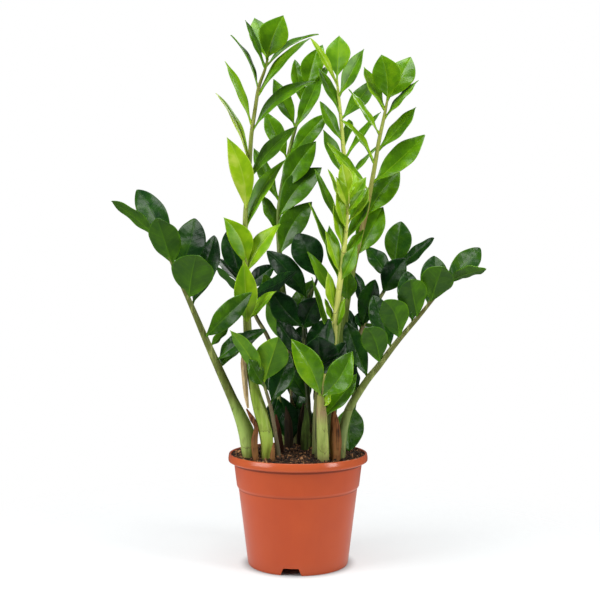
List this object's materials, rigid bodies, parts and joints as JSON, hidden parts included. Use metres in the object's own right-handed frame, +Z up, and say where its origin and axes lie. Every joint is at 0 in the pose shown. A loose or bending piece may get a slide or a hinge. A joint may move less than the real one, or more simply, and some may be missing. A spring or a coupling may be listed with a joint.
{
  "type": "potted zz plant",
  "caption": "Upright houseplant with thick bulbous stems and glossy oval leaflets, in a round tapered plastic nursery pot filled with soil.",
  "frame": {"origin": "on the floor under the middle of the pot, which is also under the middle of the foliage's box", "axes": "+Z up along the pot's axis; the side shown in the reference view faces -Y and its right is +X"},
  "size_m": [0.4223, 0.2305, 0.6631],
  "materials": {
    "pot": "terracotta-coloured moulded polypropylene, satin",
    "soil": "dark crumbly potting soil",
    "dark_leaf": "old leaf, dark green and waxy",
    "green_leaf": "grown leaf, mid green and waxy",
    "lime_leaf": "new leaf, yellow green and glossy",
    "husk": "dry brown scale leaf, rough and ribbed",
    "straw": "dried pale sheath, papery"
  },
  "bodies": {
    "root": {"pot": "pot", "soil": "soil", "frond_left": "dark_leaf", "frond_left_back": "dark_leaf", "frond_tall_left": "lime_leaf", "frond_tall_back": "green_leaf", "frond_tall_middle": "lime_leaf", "frond_tall_right": "green_leaf", "frond_young": "lime_leaf", "frond_front_left": "green_leaf", "frond_front_middle": "green_leaf", "frond_right": "dark_leaf", "frond_right_back": "dark_leaf", "frond_middle": "dark_leaf", "frond_front_short": "dark_leaf", "husk_right": "husk", "husk_left": "husk", "husk_front": "husk", "husk_back": "husk", "husk_middle": "husk", "husk_rear_left": "husk", "husk_rear_right": "husk", "straw_sheath": "straw"}
  },
  "joints": []
}
